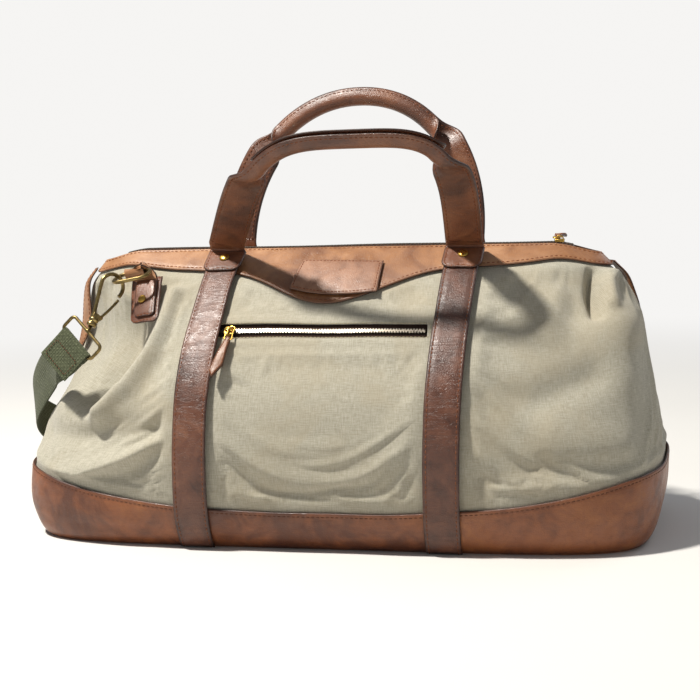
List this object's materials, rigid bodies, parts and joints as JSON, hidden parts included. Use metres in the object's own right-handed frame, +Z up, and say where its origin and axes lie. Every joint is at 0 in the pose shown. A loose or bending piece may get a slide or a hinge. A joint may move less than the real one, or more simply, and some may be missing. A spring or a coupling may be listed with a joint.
{
  "type": "duffel bag",
  "caption": "Canvas weekender duffel bag with a leather base, straps and yokes, folding handles, zips and a clip-on webbing shoulder strap.",
  "frame": {"origin": "on the ground under the middle of the base", "axes": "+X along the bag to the right as seen from the pocket side, -Y out of the pocket side, +Z up"},
  "size_m": [0.6047, 0.3153, 0.4058],
  "materials": {
    "canvas": "woven cotton canvas, washed khaki",
    "lining": "plain cotton",
    "base_leather": "waxed pull-up leather, worn edges",
    "strap_leather": "waxed pull-up leather, stitched edges, dark painted edge",
    "tan_leather": "waxed pull-up leather, light tan",
    "webbing": "ribbed cotton webbing, olive",
    "brass": "antique brass",
    "zip_metal": "aged nickel and brass teeth",
    "zip_tape": "woven tape, dark brown",
    "board": "hidden stiffener board and cord"
  },
  "bodies": {
    "root": {"leather_base": "base_leather", "base_board": "board", "lining": "lining", "canvas_front": "canvas", "canvas_back": "canvas", "yoke_front": "tan_leather", "yoke_rear": "tan_leather", "end_tail_left": "tan_leather", "end_tail_right": "tan_leather", "body_strap_front_left": "strap_leather", "body_strap_front_right": "strap_leather", "body_strap_rear_left": "strap_leather", "body_strap_rear_right": "strap_leather", "handle_tab_front_left": "strap_leather", "handle_tab_front_right": "strap_leather", "handle_tab_rear_left": "strap_leather", "handle_tab_rear_right": "strap_leather", "tab_rivet_front_left": "brass", "tab_rivet_front_right": "brass", "tab_rivet_rear_left": "brass", "tab_rivet_rear_right": "brass", "label_patch": "tan_leather", "pocket_tape_upper": "zip_tape", "pocket_tape_lower": "zip_tape", "pocket_pouch": "lining", "pocket_chain": "zip_metal", "zip_tape_front": "zip_tape", "zip_tape_rear": "zip_tape", "zip_chain": "zip_metal", "ring_tab_backing_front": "strap_leather", "ring_tab_front": "strap_leather", "ring_tab_roll_front": "tan_leather", "ring_tab_rivet_front": "brass", "ring_tab_backing_rear": "strap_leather", "ring_tab_rear": "strap_leather", "ring_tab_roll_rear": "tan_leather", "ring_tab_rivet_rear": "brass"},
    "handle_front": {"handle_front": "strap_leather", "handle_core_front": "board"},
    "handle_rear": {"handle_rear": "strap_leather", "handle_core_rear": "board"},
    "main_slider": {"main_slider": "brass"},
    "main_pull_ring": {"main_pull_ring": "brass"},
    "main_pull": {"main_pull": "tan_leather"},
    "pocket_slider": {"pocket_slider": "brass"},
    "pocket_pull_ring": {"pocket_pull_ring": "brass"},
    "pocket_pull": {"pocket_pull": "tan_leather"},
    "d_ring_front": {"d_ring_front": "brass"},
    "d_ring_rear": {"d_ring_rear": "brass"},
    "shoulder_strap": {"shoulder_webbing": "webbing", "strap_loop_front": "brass", "strap_loop_rear": "brass"},
    "strap_slide": {"strap_slide": "brass"},
    "hook_front": {"hook_front": "brass"},
    "hook_rear": {"hook_rear": "brass"},
    "hook_gate_front": {"hook_gate_front": "brass"},
    "hook_gate_rear": {"hook_gate_rear": "brass"}
  },
  "joints": [
    {"name": "front_handle_fold", "type": "hinge", "parent": "root", "child": "handle_front", "pos_m": [0, -0.02937, 0.26007], "axis": [1, 0, 0], "range_deg": [-50, 40]},
    {"name": "rear_handle_fold", "type": "hinge", "parent": "root", "child": "handle_rear", "pos_m": [0, 0.02937, 0.26007], "axis": [-1, 0, 0], "range_deg": [-9, 91]},
    {"name": "main_slider_travel", "type": "slide", "parent": "root", "child": "main_slider", "axis": [-1, 0, 0], "range_m": [0, 0.4]},
    {"name": "main_ring_swing", "type": "hinge", "parent": "main_slider", "child": "main_pull_ring", "pos_m": [0.19725, 0, 0.263], "axis": [0, 0, 1], "range_deg": [-30, 30]},
    {"name": "main_pull_lift", "type": "hinge", "parent": "main_pull_ring", "child": "main_pull", "pos_m": [0.19725, 0.011, 0.263], "axis": [1, 0, 0], "range_deg": [-5, 80]},
    {"name": "pocket_slider_travel", "type": "slide", "parent": "root", "child": "pocket_slider", "axis": [1, 0, 0], "range_m": [0, 0.164]},
    {"name": "pocket_ring_swing", "type": "hinge", "parent": "pocket_slider", "child": "pocket_pull_ring", "pos_m": [-0.08025, -0.10174, 0.19194], "axis": [0, -0.72, 0.694], "range_deg": [0, 44]},
    {"name": "pocket_pull_lift", "type": "hinge", "parent": "pocket_pull_ring", "child": "pocket_pull", "pos_m": [-0.08197, -0.10927, 0.18412], "axis": [-0.9877, 0.1086, 0.1126], "range_deg": [0, 65]},
    {"name": "d_ring_front_tilt", "type": "hinge", "parent": "root", "child": "d_ring_front", "pos_m": [-0.185, -0.058, 0.241], "axis": [0.9853, 0, 0.1709], "range_deg": [-5, 5]},
    {"name": "d_ring_rear_tilt", "type": "hinge", "parent": "root", "child": "d_ring_rear", "pos_m": [0.185, 0.058, 0.241], "axis": [-0.9853, 0, 0.1709], "range_deg": [-5, 5]},
    {"name": "shoulder_strap_swing", "type": "hinge", "parent": "root", "child": "shoulder_strap", "pos_m": [-0.19915, -0.0763, 0.23321], "axis": [0.9244, 0.3812, 0.0123], "range_deg": [0, 45]},
    {"name": "strap_slide_travel", "type": "slide", "parent": "shoulder_strap", "child": "strap_slide", "axis": [1, 0, 0], "range_m": [-0.02, 0.02]},
    {"name": "hook_front_turn", "type": "hinge", "parent": "shoulder_strap", "child": "hook_front", "pos_m": [-0.19915, -0.0763, 0.23321], "axis": [-0.3302, -0.5003, -0.8004], "range_deg": [-10, 10]},
    {"name": "hook_rear_turn", "type": "hinge", "parent": "shoulder_strap", "child": "hook_rear", "pos_m": [0.17085, 0.0763, 0.23812], "axis": [-0.4212, 0.7421, -0.5215], "range_deg": [-10, 10]},
    {"name": "hook_gate_front_open", "type": "hinge", "parent": "hook_front", "child": "hook_gate_front", "pos_m": [-0.20861, -0.09151, 0.20165], "axis": [0.7841, -0.6174, 0.0624], "range_deg": [0, 15]},
    {"name": "hook_gate_rear_open", "type": "hinge", "parent": "hook_rear", "child": "hook_gate_rear", "pos_m": [0.15513, 0.10541, 0.22323], "axis": [0.8986, 0.4196, -0.1287], "range_deg": [0, 15]}
  ]
}
